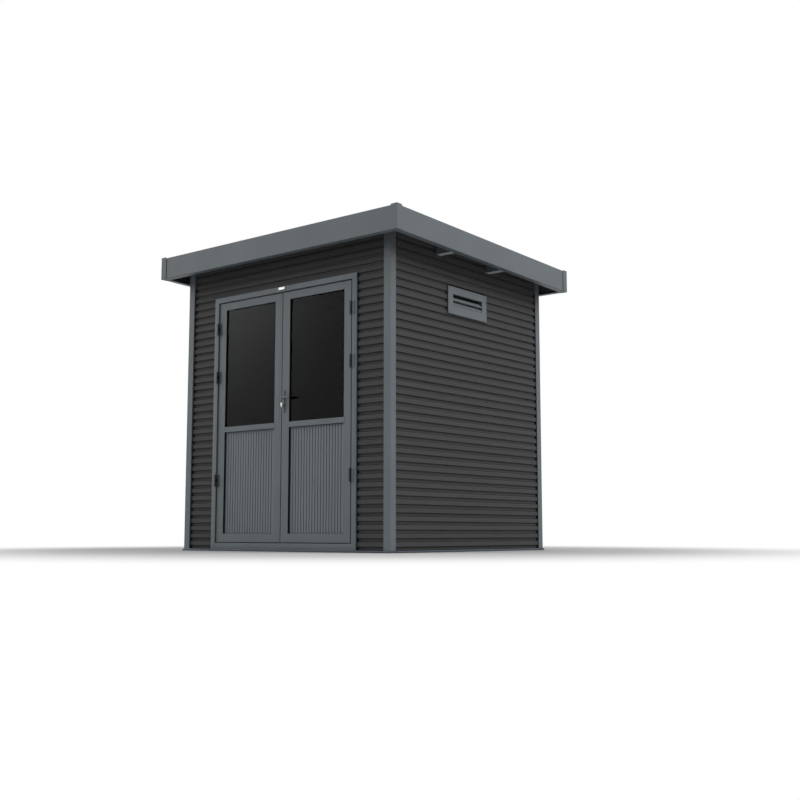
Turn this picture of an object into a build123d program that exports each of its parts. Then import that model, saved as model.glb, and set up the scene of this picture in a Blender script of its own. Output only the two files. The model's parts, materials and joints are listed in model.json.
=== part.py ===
"""Garden shed with a pair of half-glazed doors, composite cladding and a low sloping roof.

Millimetres. +X runs to the right along the door front, +Y to the back, +Z up.
The origin is the middle of the plan, on the ground.
"""
import os

from build123d import *

# Overall sizes, over the corner posts
width = 2000
depth = 1850
sill_height = 15
sill_proud = 8
sill_depth = 70
sill_bevel = 4

# Corner posts
post = 57
post_corner_radius = 1.5

# Roof edge: corner caps stand proud of the fascia sheets
side_overhang = 171
end_overhang = 144
cap_thick = 4.5
cap_leg = 47
cap_extra = 6
fascia_height = 165
fascia_bottom = 2071
fascia_flange = 45
fascia_lip = 20
fascia_thick = 2.5
roof_fall = 54.5

# Purlins and roof sheet
purlin_width = 50
purlin_height = 90
purlin_centres = (-385, 230)
sheet_thick = 2
sheet_rib = 20
sheet_pitch = 194
sheet_rib_top = 24
sheet_rib_base = 60

# Cladding: flat courses with a wide shallow groove between them
wall_thick = 28
end_wall_inset = 12
side_wall_inset = 7
course = 55.6
courses = 39
groove_height = 24.5
groove_depth = 11
rail_width = 40
rail_height = 60

# Door frame
frame_half = 706
frame_top = 1880
frame_depth = 50
jamb_face = 44
head_face = 39
threshold_face = 44
bevel_width = 20
bevel_depth = 2

# Door leaves
leaf_gap = 5
meeting_gap = 6
leaf_set_back = 10
leaf_thick = 40
stile = 70
top_rail = 56
mid_rail = 38.5
mid_rail_bottom = 866
mid_rail_proud = 2
mid_rail_lap = 10
mid_rail_radius = 5
bottom_rail = 61
closing_bevel = 2.5
score_x = -21
score_width = 2.5
score_depth = 1
glass_thick = 6
glass_set_back = 20
panel_thick = 16
panel_set_back = 12
rib_pitch = 26.3
rib_groove = 9
rib_groove_depth = 4

# Hinges: knuckles in front of the frame, plates on the jamb and on the leaf
hinge_heights = (513.5, 1278.5, 1642)
hinge_length = 88
knuckle_radius = 6.5
knuckle_gap = 0.5
hinge_proud = 8
hinge_plate = 3
hinge_plate_width = 20
hinge_web_length = 2
hinge_web_set_back = 2

# Handle
handle_x = 20
lever_z = 1078
lever_length = 75
lever_tall = 13
lever_thick = 11
lever_stand_off = 28
neck_radius = 8
neck_gap = 0.5
spindle_radius = 5
spindle_clearance = 0.08
plate_width = 24
plate_radius = 7
plate_bottom = 975
plate_top = 1132
plate_thick = 6
cylinder_z = 1032
cylinder_radius = 8.5
cylinder_proud = 18
cylinder_tail = 18
cylinder_tail_width = 9

# Vent in the right wall
vent_y = -51
vent_z = 1765
vent_width = 473
vent_height = 196
vent_plate_z = 1760
vent_open_width = 358
vent_open_height = 82
vent_proud = 10
vent_cheek = 3
blade_edges = (1726, 1760)
blade_set_back = 2
blade_lip = 8.5
blade_run = 20
blade_thick = 2

# Small plain plate on the door head
head_plate_size = (60, 6, 18)
head_plate_z = 1864

# Worked out from the sizes above
half_x = width / 2
half_y = depth / 2
eave_x = half_x + side_overhang - cap_thick
eave_y = half_y + end_overhang - cap_thick
slope = roof_fall / (2 * eave_y)
fall_direction = Vector(0, 1, -slope)
wall_face_x = half_x - side_wall_inset
wall_face_y = half_y - end_wall_inset
wall_inner_x = wall_face_x - wall_thick
wall_inner_y = wall_face_y - wall_thick
post_inner_x = half_x - post
post_inner_y = half_y - post
frame_face = -half_y
jamb_inner = frame_half - jamb_face
leaf_face = frame_face + leaf_set_back
leaf_back = leaf_face + leaf_thick
leaf_middle_y = (leaf_face + leaf_back) / 2
leaf_outer = jamb_inner - leaf_gap
leaf_inner = meeting_gap / 2
leaf_bottom = sill_height + threshold_face + leaf_gap
leaf_top = frame_top - head_face - leaf_gap
light_inner = leaf_inner + stile
light_outer = leaf_outer - stile
light_width = light_outer - light_inner
hinge_x = jamb_inner - leaf_gap / 2
hinge_y = frame_face - hinge_proud

pieces = {}


def keep(name, builder):
    """Labels a finished piece and keeps it under its node name."""
    builder.part.label = name
    pieces[name] = builder.part


def fascia_line(y):
    """Height of the fascia's lower edge at y: the roof falls to the back."""
    return fascia_bottom - slope * (y + eave_y)


def purlin_line(y):
    """Height of the purlins' underside at y."""
    return fascia_line(y) + fascia_thick


def sheet_line(y):
    """Height of the roof sheet's underside at y."""
    return purlin_line(y) + purlin_height


def block(x, y, z):
    """Adds a block between two limits on each axis to the piece being made."""
    with Locations(((x[0] + x[1]) / 2, (y[0] + y[1]) / 2, (z[0] + z[1]) / 2)):
        Box(abs(x[1] - x[0]), abs(y[1] - y[0]), abs(z[1] - z[0]))


def make_sills():
    """Base rails with a bevelled outer edge: the end ones run through, the side ones fit between."""
    outer_x = half_x + sill_proud
    outer_y = half_y + sill_proud
    with BuildPart() as ends:
        for end in (-1, 1):
            with BuildSketch(Plane.YZ.offset(-outer_x)):
                Polygon(
                    (end * outer_y, 0),
                    (end * outer_y, sill_height - sill_bevel),
                    (end * (outer_y - sill_bevel), sill_height),
                    (end * (outer_y - sill_depth), sill_height),
                    (end * (outer_y - sill_depth), 0),
                    align=None,
                )
            extrude(amount=2 * outer_x)
    keep("sill_front_and_back", ends)
    with BuildPart() as sides:
        for side in (-1, 1):
            with BuildSketch(Plane.XZ.offset(sill_depth - outer_y)):
                Polygon(
                    (side * outer_x, 0),
                    (side * outer_x, sill_height - sill_bevel),
                    (side * (outer_x - sill_bevel), sill_height),
                    (side * (outer_x - sill_depth), sill_height),
                    (side * (outer_x - sill_depth), 0),
                    align=None,
                )
            extrude(amount=2 * (outer_y - sill_depth))
    keep("sill_sides", sides)


def make_post(name, side, end):
    """A square post whose outer corner is rounded; its top stops under the roof sheet."""
    top = min(sheet_line(end * half_y), sheet_line(end * post_inner_y))
    with BuildPart() as pillar:
        with BuildSketch(Plane.XY.offset(sill_height)) as section:
            with Locations((side * (half_x - post / 2), end * (half_y - post / 2))):
                Rectangle(post, post)
            outer_corner = Vector(side * half_x, end * half_y, sill_height)
            fillet(section.vertices().sort_by_distance(outer_corner)[0], post_corner_radius)
        extrude(amount=top - sill_height)
    keep(name, pillar)


def cladding_section(face, outward, bottom, top):
    """Section of a clad wall: a slab whose outer face has one groove for each course."""
    with Locations((face - outward * wall_thick / 2, (bottom + top) / 2)):
        Rectangle(wall_thick, top - bottom)
    heights = [sill_height + groove_height / 2 + course * k for k in range(courses)]
    crossed = [z for z in heights if bottom < z + groove_height / 2 and z - groove_height / 2 < top]
    with Locations(*[(face - outward * groove_depth / 2, z) for z in crossed]):
        Rectangle(groove_depth, groove_height, mode=Mode.SUBTRACT)


def end_wall(name, end, x, z):
    """A clad wall panel that faces the front (end = -1) or the back (end = 1)."""
    with BuildPart() as panel:
        with BuildSketch(Plane.YZ.offset(x[0])):
            cladding_section(end * wall_face_y, end, z[0], z[1])
        extrude(amount=x[1] - x[0])
    keep(name, panel)


def side_wall(name, side, y, z, under_roof):
    """A clad wall panel on the left (side = -1) or right (side = 1); under the roof it follows the fall."""
    with BuildPart() as panel:
        with BuildSketch(Plane.XZ.offset(-y[1])):
            cladding_section(side * wall_face_x, side, z[0], z[1])
        extrude(amount=y[1] - y[0])
        if under_roof:
            split(bisect_by=Plane(origin=(0, 0, sheet_line(0)), z_dir=(0, slope, 1)), keep=Keep.BOTTOM)
            for middle in purlin_centres:
                with BuildSketch(Plane.YZ.offset(side * half_x)):
                    purlin_section(middle)
                extrude(amount=-side * post, mode=Mode.SUBTRACT)
    keep(name, panel)


def purlin_section(middle):
    """Upright section of a roof purlin, whose top and bottom follow the fall."""
    near = middle - purlin_width / 2
    far = middle + purlin_width / 2
    Polygon(
        (near, purlin_line(near)),
        (far, purlin_line(far)),
        (far, sheet_line(far)),
        (near, sheet_line(near)),
        align=None,
    )


def make_walls():
    """Clad walls, split beside and over the doorway and round the vent."""
    front_top = sheet_line(-wall_inner_y)
    back_top = sheet_line(wall_face_y)
    side_top = sheet_line(-post_inner_y)
    end_wall("front_wall_left", -1, (-post_inner_x, -frame_half), (sill_height, front_top))
    end_wall("front_wall_right", -1, (frame_half, post_inner_x), (sill_height, front_top))
    end_wall("front_wall_over_door", -1, (-frame_half, frame_half), (frame_top, front_top))
    end_wall("back_wall", 1, (-post_inner_x, post_inner_x), (sill_height, back_top))

    whole_y = (-post_inner_y, post_inner_y)
    hole_y = (vent_y - vent_open_width / 2 - vent_cheek, vent_y + vent_open_width / 2 + vent_cheek)
    hole_z = (vent_z - vent_open_height / 2, vent_z + vent_open_height / 2)
    side_wall("left_wall", -1, whole_y, (sill_height, side_top), True)
    side_wall("right_wall_below_vent", 1, whole_y, (sill_height, hole_z[0]), False)
    side_wall("right_wall_front_of_vent", 1, (whole_y[0], hole_y[0]), hole_z, False)
    side_wall("right_wall_behind_vent", 1, (hole_y[1], whole_y[1]), hole_z, False)
    side_wall("right_wall_above_vent", 1, whole_y, (hole_z[1], side_top), True)


def make_roof_frame():
    """Side rails on the walls, beams inside the end walls, and purlins that run out to the fascias."""
    with BuildPart() as rails:
        for side in (-1, 1):
            with BuildSketch(Plane.XZ.offset(post_inner_y)):
                top = purlin_line(-post_inner_y)
                with Locations((side * (wall_inner_x - rail_width / 2), top - rail_height / 2)):
                    Rectangle(rail_width, rail_height)
            extrude(amount=2 * post_inner_y * fall_direction.length, dir=fall_direction)
    keep("side_top_rails", rails)

    with BuildPart() as beams:
        beam_y = wall_inner_y - purlin_width / 2
        for middle in (-beam_y, beam_y):
            with BuildSketch(Plane.YZ.offset(-post_inner_x)):
                purlin_section(middle)
            extrude(amount=2 * post_inner_x)
    keep("end_roof_beams", beams)

    with BuildPart() as purlins:
        reach = eave_x - fascia_thick
        for middle in purlin_centres:
            with BuildSketch(Plane.YZ.offset(-reach)):
                purlin_section(middle)
            extrude(amount=2 * reach)
    keep("purlins", purlins)


def make_sheet():
    """Ribbed roof sheet that lies on the purlins, with its ribs down the fall."""
    half = eave_x - fascia_thick
    near = fascia_thick - eave_y
    base = sheet_line(near)
    ribs = int(2 * half // sheet_pitch)
    outline = [(-half, base)]
    for k in range(ribs):
        middle = sheet_pitch * (k - (ribs - 1) / 2)
        outline.append((middle - sheet_rib_base / 2, base))
        outline.append((middle - sheet_rib_top / 2, base + sheet_rib))
        outline.append((middle + sheet_rib_top / 2, base + sheet_rib))
        outline.append((middle + sheet_rib_base / 2, base))
    outline.append((half, base))
    upper = [(x, z + sheet_thick) for x, z in reversed(outline)]
    with BuildPart() as sheet:
        with BuildSketch(Plane.XZ.offset(-near)):
            with BuildLine():
                Polyline(*outline, *upper, close=True)
            make_face()
        extrude(amount=-2 * near * fall_direction.length, dir=fall_direction)
    keep("roof_sheet", sheet)


def fascia_section(face, inward, bottom):
    """Folded sheet: an upright web, a wide flange below and a narrow lip above."""
    top = bottom + fascia_height
    lip = face + inward * fascia_lip
    flange = face + inward * fascia_flange
    inside = face + inward * fascia_thick
    Polygon(
        (face, bottom),
        (flange, bottom),
        (flange, bottom + fascia_thick),
        (inside, bottom + fascia_thick),
        (inside, top - fascia_thick),
        (lip, top - fascia_thick),
        (lip, top),
        (face, top),
        align=None,
    )


def mitre(side, end):
    """Upright plane through a roof corner at 45 degrees, facing the side fascia."""
    return Plane(origin=(side * eave_x, end * eave_y, 0), z_dir=(side, -end, 0))


def make_fascias():
    """Four fascias, mitred where they meet."""
    for name, end in (("fascia_front", -1), ("fascia_back", 1)):
        with BuildPart() as board:
            with BuildSketch(Plane.YZ.offset(-eave_x)):
                fascia_section(end * eave_y, -end, fascia_line(end * eave_y))
            extrude(amount=2 * eave_x)
            for side in (-1, 1):
                split(bisect_by=mitre(side, end), keep=Keep.BOTTOM)
        keep(name, board)
    for name, side in (("fascia_left", -1), ("fascia_right", 1)):
        with BuildPart() as board:
            with BuildSketch(Plane.XZ.offset(eave_y)):
                fascia_section(side * eave_x, -side, fascia_line(-eave_y))
            extrude(amount=2 * eave_y * fall_direction.length, dir=fall_direction)
            for end in (-1, 1):
                split(bisect_by=mitre(side, end), keep=Keep.TOP)
        keep(name, board)


def make_caps():
    """Folded corner caps over the fascia joints."""
    with BuildPart() as caps:
        for side in (-1, 1):
            for end in (-1, 1):
                outer_x = side * (eave_x + cap_thick)
                outer_y = end * (eave_y + cap_thick)
                with BuildSketch(Plane.XY.offset(fascia_line(end * eave_y))):
                    with BuildLine():
                        Polyline(
                            (outer_x, outer_y),
                            (outer_x - side * cap_leg, outer_y),
                            (outer_x - side * cap_leg, end * eave_y),
                            (side * eave_x, end * eave_y),
                            (side * eave_x, outer_y - end * cap_leg),
                            (outer_x, outer_y - end * cap_leg),
                            close=True,
                        )
                    make_face()
                extrude(amount=fascia_height + cap_extra)
    keep("fascia_corner_caps", caps)


def frame_member(name, outer_edge, inward, face_width, upright, ends, cuts):
    """A door frame member with a slightly bevelled outer edge, cut to its mitres."""
    shoulder = outer_edge + inward * bevel_width
    inner = outer_edge + inward * face_width
    back = frame_face + frame_depth
    section = [
        (outer_edge, frame_face + bevel_depth),
        (shoulder, frame_face),
        (inner, frame_face),
        (inner, back),
        (outer_edge, back),
    ]
    plane = Plane.XY if upright else Plane.YZ
    if not upright:
        section = [(y, edge) for edge, y in section]
    with BuildPart() as member:
        with BuildSketch(plane.offset(ends[0])):
            with BuildLine():
                Polyline(*section, close=True)
            make_face()
        extrude(amount=ends[1] - ends[0])
        for cut in cuts:
            split(bisect_by=cut, keep=Keep.TOP)
    keep(name, member)


def corner_cut(side, top, for_jamb):
    """Mitre plane of a door frame corner, facing the jamb or else the head or threshold."""
    outer = Vector(side * frame_half, 0, frame_top if top else sill_height)
    inner_z = frame_top - head_face if top else sill_height + threshold_face
    along = Vector(side * jamb_inner, 0, inner_z) - outer
    normal = Vector(along.Z, 0, -along.X)
    towards_jamb = Vector(0, 0, -1 if top else 1)
    facing_jamb = normal.dot(towards_jamb) > 0
    return Plane(origin=outer, z_dir=normal if facing_jamb == for_jamb else -normal)


def make_door_frame():
    """Jambs, head and threshold, mitred at the four corners, and the plate on the head."""
    upright_ends = (sill_height, frame_top)
    level_ends = (-frame_half, frame_half)
    for name, side in (("door_frame_left_jamb", -1), ("door_frame_right_jamb", 1)):
        cuts = [corner_cut(side, top, True) for top in (True, False)]
        frame_member(name, side * frame_half, -side, jamb_face, True, upright_ends, cuts)
    head_cuts = [corner_cut(side, True, False) for side in (-1, 1)]
    frame_member("door_frame_head", frame_top, -1, head_face, False, level_ends, head_cuts)
    foot_cuts = [corner_cut(side, False, False) for side in (-1, 1)]
    frame_member("door_frame_threshold", sill_height, 1, threshold_face, False, level_ends, foot_cuts)

    with BuildPart() as plate:
        with Locations((0, frame_face - head_plate_size[1] / 2, head_plate_z)):
            Box(*head_plate_size)
    keep("door_head_plate", plate)


def make_stiles(name, side):
    """Upright members of a leaf; the meeting edge is bevelled so that it clears as it swings."""
    with BuildPart() as stiles:
        with BuildSketch(Plane.XY.offset(leaf_bottom)):
            with Locations((side * (leaf_outer - stile / 2), leaf_middle_y)):
                Rectangle(stile, leaf_thick)
            with BuildLine():
                Polyline(
                    (side * leaf_inner, leaf_face),
                    (side * light_inner, leaf_face),
                    (side * light_inner, leaf_back),
                    (side * (leaf_inner + closing_bevel), leaf_back),
                    close=True,
                )
            make_face()
            if side < 0:
                with Locations((score_x, leaf_face + score_depth / 2)):
                    Rectangle(score_width, score_depth, mode=Mode.SUBTRACT)
        extrude(amount=leaf_top - leaf_bottom)
        if side > 0:
            with BuildSketch(Plane.XZ.offset(-leaf_back)):
                with Locations((handle_x, lever_z)):
                    Circle(spindle_radius + spindle_clearance)
            extrude(amount=leaf_thick, mode=Mode.SUBTRACT)
    keep(name + "_stiles", stiles)


def make_leaf(name, side):
    """Rails, pane and ribbed panel of one door leaf, between its stiles."""
    middle_x = side * (light_inner + light_outer) / 2
    panel_bottom = leaf_bottom + bottom_rail
    pane_bottom = mid_rail_bottom + mid_rail
    pane_top = leaf_top - top_rail
    with BuildPart() as rails:
        for low, high in ((leaf_bottom, panel_bottom), (mid_rail_bottom, pane_bottom), (pane_top, leaf_top)):
            with BuildSketch(Plane.XY.offset(low)):
                with Locations((middle_x, leaf_middle_y)):
                    Rectangle(light_width, leaf_thick)
            extrude(amount=high - low)
        with BuildSketch(Plane.XZ.offset(-leaf_face)):
            with Locations((middle_x, mid_rail_bottom + mid_rail / 2)):
                RectangleRounded(light_width + 2 * mid_rail_lap, mid_rail, mid_rail_radius)
        extrude(amount=mid_rail_proud)
    keep(name + "_rails", rails)

    with BuildPart() as pane:
        with BuildSketch(Plane.XY.offset(pane_bottom)):
            with Locations((middle_x, leaf_face + glass_set_back + glass_thick / 2)):
                Rectangle(light_width, glass_thick)
        extrude(amount=pane_top - pane_bottom)
    keep(name + "_glass", pane)

    panel_face = leaf_face + panel_set_back
    grooves = int(light_width // rib_pitch)
    with BuildPart() as panel:
        with BuildSketch(Plane.XY.offset(panel_bottom)):
            with Locations((middle_x, panel_face + panel_thick / 2)):
                Rectangle(light_width, panel_thick)
            with Locations((middle_x, panel_face + rib_groove_depth / 2)):
                with GridLocations(rib_pitch, 0, grooves, 1):
                    Rectangle(rib_groove, rib_groove_depth, mode=Mode.SUBTRACT)
        extrude(amount=mid_rail_bottom - panel_bottom)
    keep(name + "_ribbed_panel", panel)


def barrel(side, low, high):
    """Part of a hinge barrel between two heights."""
    with Locations((side * hinge_x, hinge_y, (low + high) / 2)):
        Cylinder(knuckle_radius, high - low)


def make_hinges(side_name, side):
    """Three butt hinges: two knuckles on the jamb, one between them on the leaf."""
    third = hinge_length / 3
    plate_start = side * (hinge_x + knuckle_radius + hinge_web_length)
    plate_end = plate_start + side * hinge_plate_width
    plate_y = (frame_face - hinge_plate, frame_face)
    web_x = (side * hinge_x, plate_start)
    web_y = (hinge_y + hinge_web_set_back, frame_face)
    with BuildPart() as fixed:
        for middle in hinge_heights:
            low = middle - hinge_length / 2
            high = middle + hinge_length / 2
            block((plate_start, plate_end), plate_y, (low, high))
            for span in ((low, low + third), (high - third, high)):
                barrel(side, *span)
                block(web_x, web_y, span)
    keep(f"door_frame_{side_name}_hinges", fixed)

    leaf_edge = side * leaf_outer
    with BuildPart() as moving:
        for middle in hinge_heights:
            low = middle - third / 2 + knuckle_gap
            high = middle + third / 2 - knuckle_gap
            plate_z = (middle - hinge_length / 2, middle + hinge_length / 2)
            barrel(side, low, high)
            block((leaf_edge - side * hinge_plate, leaf_edge), (hinge_y, leaf_face), (low, high))
            block(
                (leaf_edge - side * (hinge_plate_width + hinge_plate), leaf_edge),
                (leaf_face - hinge_plate, leaf_face),
                plate_z,
            )
    keep(f"{side_name}_door_hinges", moving)


def make_handle():
    """Long plates on both faces, a key cylinder, and levers on one spindle."""
    with BuildPart() as plates:
        for face in (leaf_face, leaf_back + plate_thick):
            with BuildSketch(Plane.XZ.offset(-face)):
                with Locations((handle_x, (plate_bottom + plate_top) / 2)):
                    RectangleRounded(plate_width, plate_top - plate_bottom, plate_radius)
                with Locations((handle_x, lever_z)):
                    Circle(spindle_radius + spindle_clearance, mode=Mode.SUBTRACT)
            extrude(amount=plate_thick)
    keep("right_door_handle_plates", plates)

    outside = (leaf_face - plate_thick, cylinder_proud)
    inside = (leaf_back + plate_thick, -cylinder_proud / 2)
    with BuildPart() as cylinder:
        for start, reach in (outside, inside):
            with BuildSketch(Plane.XZ.offset(-start)):
                with Locations((handle_x, cylinder_z)):
                    Circle(cylinder_radius)
                with Locations((handle_x, cylinder_z - cylinder_tail / 2)):
                    SlotCenterToCenter(cylinder_tail, cylinder_tail_width, rotation=90)
            extrude(amount=reach)
    keep("right_door_lock_cylinder", cylinder)

    outer_face = leaf_face - lever_stand_off - lever_thick / 2
    inner_face = leaf_back + lever_stand_off + lever_thick / 2
    outer_neck = (outer_face + lever_thick, leaf_face - plate_thick - neck_gap)
    inner_neck = (leaf_back + plate_thick + neck_gap, inner_face - lever_thick)
    with BuildPart() as lever:
        spans = (
            (outer_face, inner_face, spindle_radius),
            (*outer_neck, neck_radius),
            (*inner_neck, neck_radius),
        )
        for near, far, radius in spans:
            with BuildSketch(Plane.XZ.offset(-far)):
                with Locations((handle_x, lever_z)):
                    Circle(radius)
            extrude(amount=far - near)
        for back in (outer_face + lever_thick, inner_face):
            with BuildSketch(Plane.XZ.offset(-back)):
                with Locations((handle_x + lever_length / 2, lever_z)):
                    SlotCenterToCenter(lever_length, lever_tall)
            extrude(amount=lever_thick)
    keep("right_door_lever", lever)


def make_vent():
    """A flat-plated vent with two folded blades, set in the right wall."""
    outer = wall_face_x + vent_proud
    plate_x = (wall_face_x, outer)
    open_z = (vent_z - vent_open_height / 2, vent_z + vent_open_height / 2)
    open_y = (vent_y - vent_open_width / 2, vent_y + vent_open_width / 2)
    plate_y = (vent_y - vent_width / 2, vent_y + vent_width / 2)
    plate_z = (vent_plate_z - vent_height / 2, vent_plate_z + vent_height / 2)
    with BuildPart() as bars:
        block(plate_x, plate_y, (plate_z[0], open_z[0]))
        block(plate_x, plate_y, (open_z[1], plate_z[1]))
    keep("vent_plate_rails", bars)
    with BuildPart() as sides:
        for edge, limit, outward in zip(open_y, plate_y, (-1, 1)):
            block(plate_x, (edge, limit), open_z)
            block((wall_inner_x, wall_face_x), (edge, edge + outward * vent_cheek), open_z)
    keep("vent_plate_sides", sides)

    front = outer - blade_set_back
    sloped_thick = blade_thick * 2**0.5
    with BuildPart() as blades:
        for edge_z in blade_edges:
            fold_z = edge_z + blade_lip
            with BuildSketch(Plane.XZ.offset(-open_y[1])):
                with BuildLine():
                    Polyline(
                        (front, edge_z),
                        (front, fold_z),
                        (front - blade_run, fold_z + blade_run),
                        (front - blade_run, fold_z + blade_run - sloped_thick),
                        (front - blade_thick, fold_z + blade_thick - sloped_thick),
                        (front - blade_thick, edge_z),
                        close=True,
                    )
                make_face()
            extrude(amount=vent_open_width)
    keep("vent_blades", blades)


make_sills()
for end_name, end in (("front", -1), ("back", 1)):
    for side_name, side in (("left", -1), ("right", 1)):
        make_post(f"post_{end_name}_{side_name}", side, end)
make_walls()
make_roof_frame()
make_sheet()
make_fascias()
make_caps()
make_door_frame()
for side_name, side in (("left", -1), ("right", 1)):
    make_stiles(f"{side_name}_door", side)
    make_leaf(f"{side_name}_door", side)
    make_hinges(side_name, side)
make_handle()
make_vent()

os.makedirs("parts", exist_ok=True)
for name, piece in pieces.items():
    export_step(piece, f"parts/{name}.step")
print(len(pieces), "pieces")
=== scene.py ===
# %% [markdown]
# # A garden shed with clad walls and double doors
#
# The shed's solids come from a CAD model that is already packed, so this lesson never builds a wall or a
# door from nothing. It loads the solids as a fixed frame, and dresses them with boards, folded sheets,
# glass, seals, screws and finishes. Everything is in metres, with +X to the right along the door front,
# +Y to the back and +Z up.

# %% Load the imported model
import json
import math

import bmesh
import bpy
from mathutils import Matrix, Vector

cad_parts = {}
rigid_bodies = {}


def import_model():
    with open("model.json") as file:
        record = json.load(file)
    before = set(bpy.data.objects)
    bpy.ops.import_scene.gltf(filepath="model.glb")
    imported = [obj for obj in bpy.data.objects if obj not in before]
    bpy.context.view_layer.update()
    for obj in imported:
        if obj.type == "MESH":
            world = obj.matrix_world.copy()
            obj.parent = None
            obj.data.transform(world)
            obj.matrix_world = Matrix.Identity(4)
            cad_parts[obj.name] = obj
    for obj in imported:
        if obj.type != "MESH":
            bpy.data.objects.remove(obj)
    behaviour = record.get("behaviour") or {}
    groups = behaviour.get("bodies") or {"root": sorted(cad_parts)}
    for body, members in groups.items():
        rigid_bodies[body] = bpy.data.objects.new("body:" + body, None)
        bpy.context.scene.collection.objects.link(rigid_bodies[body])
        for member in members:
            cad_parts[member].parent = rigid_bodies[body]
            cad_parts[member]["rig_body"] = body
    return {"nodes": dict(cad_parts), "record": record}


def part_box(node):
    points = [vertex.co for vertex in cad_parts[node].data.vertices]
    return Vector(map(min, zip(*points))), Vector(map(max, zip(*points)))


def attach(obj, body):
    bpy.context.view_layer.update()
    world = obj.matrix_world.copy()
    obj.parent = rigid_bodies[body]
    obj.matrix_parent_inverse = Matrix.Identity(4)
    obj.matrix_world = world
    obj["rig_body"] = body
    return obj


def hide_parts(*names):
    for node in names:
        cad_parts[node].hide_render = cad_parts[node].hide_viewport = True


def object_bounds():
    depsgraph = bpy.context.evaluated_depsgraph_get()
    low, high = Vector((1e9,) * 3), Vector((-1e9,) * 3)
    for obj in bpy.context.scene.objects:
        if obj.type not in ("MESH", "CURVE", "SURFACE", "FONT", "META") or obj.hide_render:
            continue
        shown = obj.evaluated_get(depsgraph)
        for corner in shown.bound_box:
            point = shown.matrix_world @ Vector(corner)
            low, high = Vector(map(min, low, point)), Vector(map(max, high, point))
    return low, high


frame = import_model()
cad_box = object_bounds()
nodes = frame["nodes"]
scene = bpy.context.scene
mm = 0.001
print(len(nodes), "solids, from", tuple(cad_box[0]), "to", tuple(cad_box[1]))

# %% [markdown]
# ## Places that the pieces share
#
# A dressed piece has to sit exactly on its solid. Sizes could be typed in again, but they would drift
# when the solid changes, so places are read from the boxes of the solids, and only the sizes that no
# solid has, such as the height of one course of boards, are written here.

# %% Read places from the solids
sill_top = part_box("sill_sides")[1].z
front_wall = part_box("front_wall_left")
right_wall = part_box("right_wall_below_vent")
back_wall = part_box("back_wall")
fascia_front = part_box("fascia_front")
fascia_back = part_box("fascia_back")
eave = Vector((fascia_front[1].x, -fascia_front[0].y, 0))
roof_fall = fascia_front[0].z - fascia_back[0].z
slope = roof_fall / (2 * eave.y)
course = 55.6 * mm
groove_height = 24.5 * mm
groove_depth = 11 * mm
wall_thick = right_wall[1].x - right_wall[0].x
print("wall", round(wall_thick / mm), "mm thick; roof falls", round(roof_fall / mm, 1), "mm")


def roof_drop(y):
    """How far the roof has fallen at y, from its front edge."""
    return slope * (y + eave.y)


# %% [markdown]
# ## Meshes from a section
#
# Boards, folded sheets and bars all have one section along their whole length. Such a bar could be
# extruded by hand in the viewport. Here its section is a list of named corners, so that every size can be
# read and changed. No real corner is knife sharp, so a function first turns each corner into a short arc.

# %% Round the corners of a section
def rounded(corners, steps=3):
    """Section points for (across, up, radius) corners, with each corner turned into a short arc."""
    points = []
    count = len(corners)
    for k, (across, up, radius) in enumerate(corners):
        here = Vector((across, up))
        before = Vector(corners[k - 1][:2]) - here
        after = Vector(corners[(k + 1) % count][:2]) - here
        if radius == 0:
            points.append(here)
            continue
        half_angle = before.angle(after) / 2
        reach = min(radius / math.tan(half_angle), before.length / 2, after.length / 2)
        start = here + before.normalized() * reach
        end = here + after.normalized() * reach
        for step in range(steps + 1):
            t = step / steps
            points.append(start * (1 - t) ** 2 + here * (2 * t * (1 - t)) + end * t**2)
    return points


square = rounded([(0, 0, 1), (4, 0, 1), (4, 4, 1), (0, 4, 1)])
print("a square with rounded corners has", len(square), "points")

# %% [markdown]
# ### A mesh that shades like a made thing
#
# Folded and extruded metal is flat on its faces and round only in its bends. Flat shading would show the
# facets of each bend, and smooth shading alone would cloud the broad faces. So the mesh is shaded smooth,
# its real edges are marked sharp by their angle, and a Weighted Normal modifier keeps broad faces flat.

# %% Make and shade a mesh
merge_distance = 0.01 * mm


def mesh_object(name, vertices, faces, sharp_angle=30):
    """A mesh object with outward faces, smooth except at real edges."""
    work = bmesh.new()
    made = [work.verts.new(v) for v in vertices]
    for face in faces:
        work.faces.new([made[k] for k in face])
    bmesh.ops.remove_doubles(work, verts=work.verts, dist=merge_distance)
    bmesh.ops.recalc_face_normals(work, faces=work.faces)
    mesh = bpy.data.meshes.new(name)
    work.to_mesh(mesh)
    work.free()
    piece = bpy.data.objects.new(name, mesh)
    scene.collection.objects.link(piece)
    return soften(piece, sharp_angle)


def soften(piece, sharp_angle=30):
    """Shades a piece smooth, keeps real edges sharp, and lets its broad faces look flat."""
    mesh = piece.data
    mesh.polygons.foreach_set("use_smooth", [True] * len(mesh.polygons))
    mesh.set_sharp_from_angle(angle=math.radians(sharp_angle))
    if "flat_faces" not in piece.modifiers:
        weighting = piece.modifiers.new("flat_faces", "WEIGHTED_NORMAL")
        weighting.weight = 100
        weighting.keep_sharp = True
    return piece


print("points closer than", merge_distance / mm, "mm become one")

# %% [markdown]
# ### A bar between two ends
#
# A board is cut square and a fascia is mitred, yet both are one section with two ends. A curve with a
# profile could make such a bar, but its ends are always square. Here each end is given as a rule that turns
# a section point into a place, so that an end can be square or mitred.

# %% Stretch a section into a bar
def bar(name, section, near, far):
    """A closed bar: near and far turn a section point into a place at either end."""
    count = len(section)
    vertices = [near(p.x, p.y) for p in section] + [far(p.x, p.y) for p in section]
    sides = [(k, (k + 1) % count, (k + 1) % count + count, k + count) for k in range(count)]
    caps = [tuple(range(count)), tuple(reversed(range(count, 2 * count)))]
    return mesh_object(name, vertices, sides + caps)


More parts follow.
